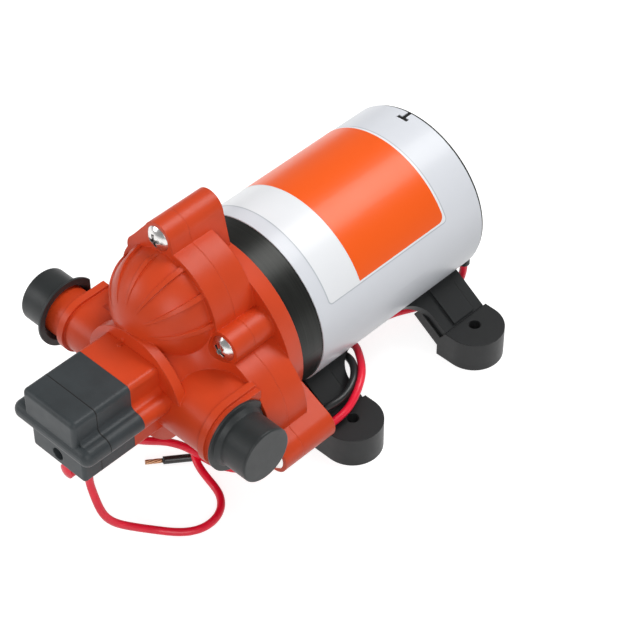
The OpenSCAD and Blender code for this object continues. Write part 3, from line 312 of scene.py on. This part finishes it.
def finish_materials(sizes):
    """The materials by the names that FINISHES and the operators use."""
    return {
        "orange_nylon": moulded_nylon("orange_moulded_nylon", sizes.housing_colour, roughness=0.36),
        "slate_rubber": moulded_rubber("slate_moulded_rubber", sizes.boot_colour, roughness=0.48),
        "cap_rubber": moulded_rubber("charcoal_moulded_rubber", sizes.cap_colour, roughness=0.46),
        "black_rubber": moulded_rubber("black_moulded_rubber", sizes.foot_colour, roughness=0.5),
        "black_nylon": moulded_nylon("black_moulded_nylon", linear("#202223"), roughness=0.42),
        "black_paint": moulded_nylon("black_painted_steel", linear("#222424"), roughness=0.36),
        "white_film": vinyl_film("white_vinyl_film", sizes.sleeve_colour, roughness=0.32),
        "label_film": vinyl_film("pale_label_vinyl", linear("#F3F5F8"), roughness=0.32),
        "clear_film": vinyl_film("clear_label_edge", linear("#C6CBD1"), roughness=0.34),
        "orange_film": vinyl_film("orange_printed_vinyl", sizes.panel_colour, roughness=0.33),
        "blackened_steel": blackened_steel("blackened_drawn_steel", linear("#2A2B29")),
        "stainless": bright_metal("bright_stainless_steel", linear("#DEDCDA"), roughness=0.2),
        "red_pvc": extruded_pvc("red_extruded_pvc", sizes.red_lead_colour),
        "black_pvc": extruded_pvc("black_extruded_pvc", linear("#1C1E1E")),
        "copper": bright_metal("tinned_copper_strand", linear("#C89B78"), roughness=0.3),
        "white_nylon": moulded_nylon("white_moulded_nylon", linear("#E0DCD2"), roughness=0.45),
        "cast_alloy": bright_metal("die_cast_alloy", linear("#A8ABAE"), roughness=0.45),
        # Painted shade for the boot's seam: a near-black rubber strip
        "seam_shadow": moulded_rubber("painted_seam_shade_rubber", linear("#0E1010"), roughness=0.7),
    }


# Filled by the operator that makes the finishes
MATERIALS = {}


# Surfaces


def strip_faces(rows, columns, close_rows=False, close_columns=False):
    """Quads of a grid of points, as point numbers, closed on itself either way if asked."""
    r = np.arange(rows if close_rows else rows - 1)[:, None]
    c = np.arange(columns if close_columns else columns - 1)[None, :]
    r1, c1 = (r + 1) % rows, (c + 1) % columns
    quads = [r * columns + c, r * columns + c1, r1 * columns + c1, r1 * columns + c]
    return np.stack(np.broadcast_arrays(*quads), axis=-1).reshape(-1, 4)


def build(name, points, faces, material, body, replaced=()):
    """Makes a smooth mesh object in the part's frame, finishes it and seats it on its body."""
    mesh = bpy.data.meshes.new(name)
    mesh.from_pydata(points.reshape(-1, 3).tolist(), [], [list(map(int, f)) for f in faces])
    mesh.shade_smooth()
    mesh.materials.append(MATERIALS[material])
    piece = bpy.data.objects.new(name, mesh)
    bpy.context.scene.collection.objects.link(piece)
    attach(piece, body)
    if replaced:
        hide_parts(*replaced)
    return piece


def smooth_path(route, step_mm=1.0):
    """Evenly placed points in metres on a natural cubic spline through a route in millimetres.

    With knots p at chord lengths t, second derivatives M, w = t[k+1] - t[k], a = t[k+1] - s and
    b = s - t[k], the curve at s is
    (M[k] a^3 + M[k+1] b^3) / 6w + (p[k]/w - M[k] w/6) a + (p[k+1]/w - M[k+1] w/6) b.
    """
    knots = np.array(route, float) * MM
    t = np.concatenate([[0], np.cumsum(np.linalg.norm(np.diff(knots, axis=0), axis=1))])
    h = np.diff(t)
    n = len(knots)
    system = np.eye(n)
    inner = np.arange(1, n - 1)
    system[inner, inner - 1] = h[:-1]
    system[inner, inner] = 2 * (h[:-1] + h[1:])
    system[inner, inner + 1] = h[1:]
    right = np.zeros((n, 3))
    slope = np.diff(knots, axis=0) / h[:, None]
    right[1:-1] = 6 * np.diff(slope, axis=0)
    bend = np.linalg.solve(system, right)
    s = np.linspace(0, t[-1], int(t[-1] / (step_mm * MM)) + 2)
    k = np.clip(np.searchsorted(t, s, side="right") - 1, 0, n - 2)
    a, b, width = (t[k + 1] - s)[:, None], (s - t[k])[:, None], h[k][:, None]
    curve = (bend[k] * a**3 + bend[k + 1] * b**3) / (6 * width)
    curve += (knots[k] / width - bend[k] * width / 6) * a
    curve += (knots[k + 1] / width - bend[k + 1] * width / 6) * b
    return curve


def tube(path, radius, sides):
    """A round tube with flat ends: path + radius (cos v aside + sin v above), square to the path."""
    ahead = np.gradient(path, axis=0)
    ahead /= np.linalg.norm(ahead, axis=1, keepdims=True)
    aside = np.cross(ahead, SLANT)
    aside /= np.linalg.norm(aside, axis=1, keepdims=True)
    above = np.cross(ahead, aside)
    v = np.linspace(0, 2 * np.pi, sides, endpoint=False)[None, :, None]
    circle = np.cos(v) * aside[:, None, :] + np.sin(v) * above[:, None, :]
    points = (path[:, None, :] + radius * circle).reshape(-1, 3)
    faces = strip_faces(len(path), sides, close_columns=True).tolist()
    last = (len(path) - 1) * sides
    ends = [list(range(sides))[::-1], list(range(last, last + sides))]
    return points, faces + ends


# What every colour in the panel has in common
COLOUR = {"size": 4, "subtype": "COLOR", "min": 0, "max": 1}


class PumpSizes(bpy.types.PropertyGroup):
    """Sizes and colours of the dressed pump."""

    lead_radius: bpy.props.FloatProperty(
        name="Lead radius", description="Radius of the insulated leads",
        default=1.6 * MM, unit="LENGTH",
    )
    strand_length: bpy.props.FloatProperty(
        name="Bare length", description="Length of bare wire at a stripped end",
        default=7 * MM, unit="LENGTH",
    )
    strand_radius: bpy.props.FloatProperty(
        name="Strand radius", description="Radius of one strand of the bare wire",
        default=0.34 * MM, unit="LENGTH",
    )
    label_front: bpy.props.FloatProperty(
        name="Label setback", description="From the sleeve's front edge to the label",
        default=6.7 * MM, unit="LENGTH",
    )
    label_length: bpy.props.FloatProperty(
        name="Label length", description="Length of the label along the motor",
        default=65.6 * MM, unit="LENGTH",
    )
    panel_front: bpy.props.FloatProperty(
        name="Panel setback", description="From the label's front edge to its panel",
        default=16.6 * MM, unit="LENGTH",
    )
    panel_length: bpy.props.FloatProperty(
        name="Panel length", description="Length of the coloured panel",
        default=48 * MM, unit="LENGTH",
    )
    label_from: bpy.props.FloatProperty(
        name="Label lower edge", description="Angle of the label's near edge above the horizontal",
        default=math.radians(24), subtype="ANGLE",
    )
    label_to: bpy.props.FloatProperty(
        name="Label far edge", description="Angle of the label's far edge above the horizontal",
        default=math.radians(156), subtype="ANGLE",
    )
    spring_wire_radius: bpy.props.FloatProperty(
        name="Spring wire", description="Radius of the switch spring's wire",
        default=0.4 * MM, unit="LENGTH",
    )
    spring_turns: bpy.props.IntProperty(
        name="Spring turns", description="Number of turns of the switch spring",
        default=6, min=3, max=8,
    )
    pip_radius: bpy.props.FloatProperty(
        name="Pip radius", description="Half width of the moulding pip on the neck",
        default=0.8 * MM, unit="LENGTH",
    )
    housing_colour: bpy.props.FloatVectorProperty(
        name="Housing colour", description="Colour of the pump head",
        default=linear("#D4461E"), **COLOUR,
    )
    boot_colour: bpy.props.FloatVectorProperty(
        name="Boot colour", description="Colour of the boot",
        default=linear("#31373A"), **COLOUR,
    )
    cap_colour: bpy.props.FloatVectorProperty(
        name="Cap colour", description="Colour of the port caps",
        default=linear("#222627"), **COLOUR,
    )
    foot_colour: bpy.props.FloatVectorProperty(
        name="Foot colour", description="Colour of the rubber feet",
        default=linear("#121415"), **COLOUR,
    )
    sleeve_colour: bpy.props.FloatVectorProperty(
        name="Sleeve colour", description="Colour of the motor sleeve",
        default=linear("#E2E5EB"), **COLOUR,
    )
    panel_colour: bpy.props.FloatVectorProperty(
        name="Panel colour", description="Colour of the panel on the label",
        default=linear("#FF5F08"), **COLOUR,
    )
    red_lead_colour: bpy.props.FloatVectorProperty(
        name="Red lead colour", description="Colour of the red leads",
        default=linear("#F40E36"), **COLOUR,
    )


class PUMP_OT_finishes(bpy.types.Operator):
    """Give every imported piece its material"""

    bl_idname = "pump.finishes"
    bl_label = "Finishes"

    def execute(self, context):
        MATERIALS.update(finish_materials(context.scene.pump_sizes))
        for finish, nodes in FINISHES.items():
            for name in nodes:
                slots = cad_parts[name].data.materials
                slots.clear()
                slots.append(MATERIALS[finish])
        return {"FINISHED"}


class PUMP_OT_leads(bpy.types.Operator):
    """Lay the three leads and wind the strands at their stripped ends"""

    bl_idname = "pump.leads"
    bl_label = "Leads"

    def execute(self, context):
        sizes = context.scene.pump_sizes
        jobs = [
            (
                "lead_motor_red", MOTOR_RED_ROUTE, "red_pvc", "red_insulation",
                "motor_lead_red", "object",
            ),
            (
                "lead_motor_black", MOTOR_BLACK_ROUTE, "black_pvc", "black_insulation",
                "motor_lead_black", "bare",
            ),
            (
                "lead_supply_red", SUPPLY_RED_ROUTE, "red_pvc", "red_insulation",
                "supply_lead_red", "bare",
            ),
        ]
        tips = []
        for name, route, finish, slot, node, far_end in jobs:
            path = smooth_path(route)
            points, faces = tube(path, sizes.lead_radius, LEAD_SIDES)
            piece = build(name, points, faces, finish, "pump_body", [node])
            if far_end == "bare":
                tips.append(path)
        strands = self.strands(tips, sizes)
        return {"FINISHED"}

    def strands(self, paths, sizes):
        """The strands at each stripped end: one straight and six wound round it as helices."""
        all_points, all_faces, count = [], [], 0
        along = np.linspace(0, 1, STRAND_STEPS)
        for path in paths:
            # The lead's heading over its last three steps
            heading = path[-1] - path[-4]
            heading /= np.linalg.norm(heading)
            side = np.cross(heading, (0, 0, 1))
            side /= np.linalg.norm(side)
            up = np.cross(side, heading)
            axis = path[-1] + along[:, None] * heading * sizes.strand_length
            for k in range(STRANDS_ROUND + 1):
                ring = 0 if k == STRANDS_ROUND else STRAND_SPACING * sizes.strand_radius
                turn = 2 * math.pi * k / STRANDS_ROUND + STRAND_TWIST * along
                offset = ring * (np.cos(turn)[:, None] * side + np.sin(turn)[:, None] * up)
                points, faces = tube(axis + offset, sizes.strand_radius, STRAND_SIDES)
                all_points.append(points)
                all_faces += [[i + count for i in f] for f in faces]
                count += len(points)
        return build(
            "bare_strands", np.vstack(all_points), all_faces, "copper", "pump_body",
            ["bare_lead_ends"],
        )


class PUMP_OT_label(bpy.types.Operator):
    """Wrap the plain label and its coloured panel round the motor sleeve"""

    bl_idname = "pump.label"
    bl_label = "Label"

    def execute(self, context):
        sizes = context.scene.pump_sizes
        front = SLEEVE_FRONT + sizes.label_front
        rim = RIM_WIDTH * MM
        rim_turn = rim / SLEEVE_R
        self.patch(
            "label_edge", "clear_film", front - rim, sizes.label_length + 2 * rim,
            sizes.label_from - rim_turn, sizes.label_to + rim_turn,
            corners_mm=(2.0, 2.0), lift_mm=0.03,
        )
        self.patch(
            "label_sheet", "label_film", front, sizes.label_length,
            sizes.label_from, sizes.label_to,
            corners_mm=(1.5, 1.5), lift_mm=0.06,
        )
        inset = math.radians(PANEL_INSET)
        self.patch(
            "label_panel", "orange_film", front + sizes.panel_front, sizes.panel_length,
            sizes.label_from + inset, sizes.label_to - inset,
            corners_mm=(0.4, 3.0), lift_mm=0.09,
        )
        return {"FINISHED"}

    def patch(self, name, finish, front, length, near, far, corners_mm, lift_mm):
        """A sheet on the sleeve: x = R cos a, z = R sin a about the motor's axis, y along it.

        Its rows shorten by r - sqrt(r^2 - gap^2) near each end, gap being what a row lacks of r
        from that end; the corners' radius r differs between the front and the rear.
        """
        first, last = (r * MM for r in corners_mm)
        radius = SLEEVE_R + lift_mm * MM
        ends = 1 - np.cos(np.linspace(0, np.pi / 2, CORNER_STEPS))
        middle = np.linspace(first, length - last, LABEL_ROWS)[1:-1]
        along = np.concatenate([first * ends, middle, length - last * ends[::-1]])
        trim = np.zeros_like(along)
        for r, distance in ((first, along), (last, length - along)):
            gap = np.clip(r - distance, 0, r)
            trim += (r - np.sqrt(r**2 - gap**2)) / radius
        across = np.linspace(0, 1, LABEL_COLUMNS)[None, :]
        angle = (near + trim)[:, None] + across * (far - near - 2 * trim)[:, None]
        y = np.broadcast_to((front + along)[:, None], angle.shape)
        points = np.stack([radius * np.cos(angle), y, AXIS_Z + radius * np.sin(angle)], axis=-1)
        faces = strip_faces(*angle.shape)[:, ::-1]
        return build(name, points, faces, finish, "pump_body")


class PUMP_OT_seam(bpy.types.Operator):
    """Draw a line of painted shade where the two halves of the boot meet"""

    bl_idname = "pump.seam"
    bl_label = "Boot seam"

    def execute(self, context):
        outline = self.outline()
        ahead = np.roll(outline, -1, axis=0) - np.roll(outline, 1, axis=0)
        ahead /= np.linalg.norm(ahead, axis=1, keepdims=True)
        outward = np.stack([ahead[:, 1], -ahead[:, 0]], axis=-1)
        # Across the strip, in millimetres: out of the rubber, over a low crown and in again
        reach = np.array([-0.24, -0.2, 0.0, 0.2, 0.24])
        lift = np.array([-0.05, 0.03, 0.05, 0.03, -0.05])
        ring = outline[:, None, :] + lift[None, :, None] * outward[:, None, :]
        y = np.broadcast_to(BOOT_SPLIT + reach[None, :] * MM, ring.shape[:2])
        points = np.stack([ring[..., 0] * MM, y, AXIS_Z + ring[..., 1] * MM], axis=-1)
        faces = strip_faces(*ring.shape[:2], close_rows=True)
        # Painted shade: a near-black strip along the seam, where shade falls between the boot's
        # halves
        build("boot_seam_shade", points, faces, "seam_shadow", "pump_body")
        return {"FINISHED"}

    def outline(self):
        """The boot's stepped section in millimetres about the motor's axis, joined by lines.

        Each rounded corner is an arc, x + r cos t and h + r sin t.
        """
        # Half widths and heights of the solid's section, and its corners' radii
        top_hw, top, ledge_hw, ledge, foot, low_hw, low = 14.2, 18, 21, 7, -1, 14.5, -14
        top_r, ledge_r, low_r, blend_r = 2.2, 3.8, 1.6, 2.4
        quarter = np.linspace(0, np.pi / 2, ARC_STEPS)

        def arc(x, h, r, turn):
            return np.stack([x + r * np.cos(turn), h + r * np.sin(turn)], axis=-1)

        right = np.concatenate([
            arc(low_hw - low_r, low + low_r, low_r, quarter - np.pi / 2),
            [[low_hw, foot]],
            arc(ledge_hw - ledge_r, foot + ledge_r, ledge_r, quarter - np.pi / 2),
            arc(ledge_hw - ledge_r, ledge - ledge_r, ledge_r, quarter),
            arc(top_hw + blend_r, ledge + blend_r, blend_r, -np.pi / 2 - quarter),
            arc(top_hw - top_r, top - top_r, top_r, quarter),
        ])
        left = right[::-1] * (-1, 1)
        return np.concatenate([right, left])


class PUMP_OT_pip(bpy.types.Operator):
    """Raise the small pip that moulding left on the front of the neck's disc"""

    bl_idname = "pump.pip"
    bl_label = "Moulding pip"

    def execute(self, context):
        points = self.dome(context.scene.pump_sizes.pip_radius)
        faces = strip_faces(*points.shape[:2], close_columns=True)
        build("moulding_pip", points, faces, "orange_nylon", "pump_body")
        return {"FINISHED"}

    def dome(self, radius):
        """Half an ellipsoid with its foot sunk a little into the disc.

        x = r sin u cos v, z = height r sin u sin v, y = -depth r cos u.
        """
        u = np.linspace(PIP_TIP, PIP_FOOT, PIP_ROWS)[:, None]
        v = np.linspace(0, 2 * np.pi, PIP_COLUMNS, endpoint=False)[None, :]
        x = radius * np.sin(u) * np.cos(v)
        z = PIP_HEIGHT * radius * np.sin(u) * np.sin(v)
        y = np.broadcast_to(-PIP_DEPTH * radius * np.cos(u), x.shape)
        return np.array(PIP_CENTRE) * MM + np.stack([x, y, z], axis=-1)


class PUMP_OT_spring(bpy.types.Operator):
    """Wind the pressure switch's spring"""

    bl_idname = "pump.spring"
    bl_label = "Switch spring"

    def execute(self, context):
        sizes = context.scene.pump_sizes
        low, high = (np.array(corner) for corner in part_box("switch_spring"))
        path = self.helix(low, high, sizes.spring_wire_radius, sizes.spring_turns)
        points, faces = tube(path, sizes.spring_wire_radius, SPRING_SIDES)
        piece = build(
            "coil_spring", points, faces, "stainless", "pump_body",
            ["switch_spring"],
        )
        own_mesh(piece)
        return {"FINISHED"}

    def helix(self, low, high, wire, turns):
        """x = R cos t and z = R sin t about the box's axis; y falls evenly from rear to front."""
        share = np.linspace(0, 1, SPRING_STEPS_PER_TURN * turns + 1)
        t = 2 * np.pi * turns * share
        middle = (low + high) / 2
        radius = (high[0] - low[0]) / 2 - wire
        y = high[1] - wire - share * (high[1] - low[1] - 2 * wire)
        x, z = middle[0] + radius * np.cos(t), middle[2] + radius * np.sin(t)
        return np.stack([x, y, z], axis=-1)


class PUMP_OT_stage(bpy.types.Operator):
    """Set the camera, the floor, the backdrop and the soft lights"""

    bl_idname = "pump.stage"
    bl_label = "Stage"

    def execute(self, context):
        scene = context.scene
        # Colours come out as they were measured, without a film curve
        scene.view_settings.view_transform = "Standard"
        self.camera(scene)
        self.floor(scene)
        self.backdrop(scene)
        self.lights(scene)
        return {"FINISHED"}

    def camera(self, scene):
        """The photo's camera."""
        data = bpy.data.cameras.new("photo_camera")
        data.sensor_width = CAMERA_SENSOR
        data.lens = CAMERA_LENS
        data.clip_end = CAMERA_REACH
        camera = bpy.data.objects.new("photo_camera", data)
        camera.location = [c * MM for c in CAMERA_PLACE]
        camera.rotation_euler = (math.radians(90 - CAMERA_DOWN), 0, math.radians(CAMERA_ROUND))
        scene.collection.objects.link(camera)
        scene.camera = camera

    def floor(self, scene):
        """A wide pale floor that glows a little, so that its shadows stay soft.

        Diffuse rays pass it by, so that it sheds no soft light on what stands on it.
        """
        half = FLOOR_HALF
        mesh = bpy.data.meshes.new("pale_floor")
        corners = [(-half, -half, 0), (half, -half, 0), (half, half, 0), (-half, half, 0)]
        mesh.from_pydata(corners, [], [(0, 1, 2, 3)])
        material, tree, shader = new_material(
            "pale_paper", Roughness=0.9, Specular_IOR_Level=0.2,
            Emission_Color=WHITE, Emission_Strength=FLOOR_GLOW,
        )
        tint(tree, shader, object_noise(tree, 40), linear("#BCBCBC"), spread=0.01)
        mesh.materials.append(material)
        floor = bpy.data.objects.new("pale_floor", mesh)
        floor.visible_diffuse = False
        scene.collection.objects.link(floor)

    def backdrop(self, scene):
        """A pale round wall, x = R cos t and y = R sin t, that only the camera sees."""
        t = np.linspace(0, 2 * np.pi, WALL_SIDES, endpoint=False)
        x, y = WALL_RADIUS * np.cos(t), WALL_RADIUS * np.sin(t)
        z = np.array([0, WALL_HEIGHT])[:, None]
        points = np.stack(np.broadcast_arrays(x, y, z), axis=-1)
        faces = strip_faces(2, WALL_SIDES, close_columns=True)
        mesh = bpy.data.meshes.new("pale_backdrop")
        mesh.from_pydata(points.reshape(-1, 3).tolist(), [], faces.tolist())
        material, _, _ = new_material(
            "pale_backdrop_paper", Roughness=0.9, Emission_Color=WHITE, Emission_Strength=1.0
        )
        mesh.materials.append(material)
        wall = bpy.data.objects.new("pale_backdrop", mesh)
        wall.visible_diffuse = wall.visible_glossy = False
        wall.visible_transmission = wall.visible_shadow = False
        scene.collection.objects.link(wall)

    def lights(self, scene):
        """A white world and round softboxes that face the pump."""
        world = bpy.data.worlds.new("soft_studio")
        world.use_nodes = True
        background = world.node_tree.nodes["Background"]
        background.inputs["Color"].default_value = WHITE
        background.inputs["Strength"].default_value = WORLD_GLOW
        scene.world = world
        for name, place, size, watts in SOFTBOXES:
            data = bpy.data.lights.new(name, "AREA")
            data.shape = "DISK"
            data.size = size
            data.energy = watts
            light = bpy.data.objects.new(name, data)
            light.location = place
            aim = np.array(LIGHT_AIM) - np.array(place)
            yaw = math.atan2(aim[1], aim[0]) - math.pi / 2
            pitch = math.atan2(aim[2], math.hypot(aim[0], aim[1])) + math.pi / 2
            light.rotation_euler = (pitch, 0, yaw)
            scene.collection.objects.link(light)


class PUMP_PT_dressing(bpy.types.Panel):
    """The steps that dress the pump"""

    bl_idname = "PUMP_PT_dressing"
    bl_label = "Pump dressing"
    bl_space_type = "VIEW_3D"
    bl_region_type = "UI"
    bl_category = "Pump"

    def draw(self, context):
        for step in STEPS:
            self.layout.operator(step.bl_idname)
        for name in PumpSizes.__annotations__:
            self.layout.prop(context.scene.pump_sizes, name)


# In the order in which they run: the finishes come before the pieces that use them
STEPS = (
    PUMP_OT_stage, PUMP_OT_finishes, PUMP_OT_leads, PUMP_OT_label, PUMP_OT_seam, PUMP_OT_pip,
    PUMP_OT_spring,
)
CLASSES = (PumpSizes, *STEPS, PUMP_PT_dressing)


def register():
    for cls in CLASSES:
        bpy.utils.register_class(cls)
    bpy.types.Scene.pump_sizes = bpy.props.PointerProperty(type=PumpSizes)


def unregister():
    del bpy.types.Scene.pump_sizes
    for cls in reversed(CLASSES):
        bpy.utils.unregister_class(cls)


def main():
    register()
    for step in STEPS:
        group, name = step.bl_idname.split(".")
        getattr(getattr(bpy.ops, group), name)()
    bpy.context.view_layer.update()


if __name__ == "__main__":
    main()
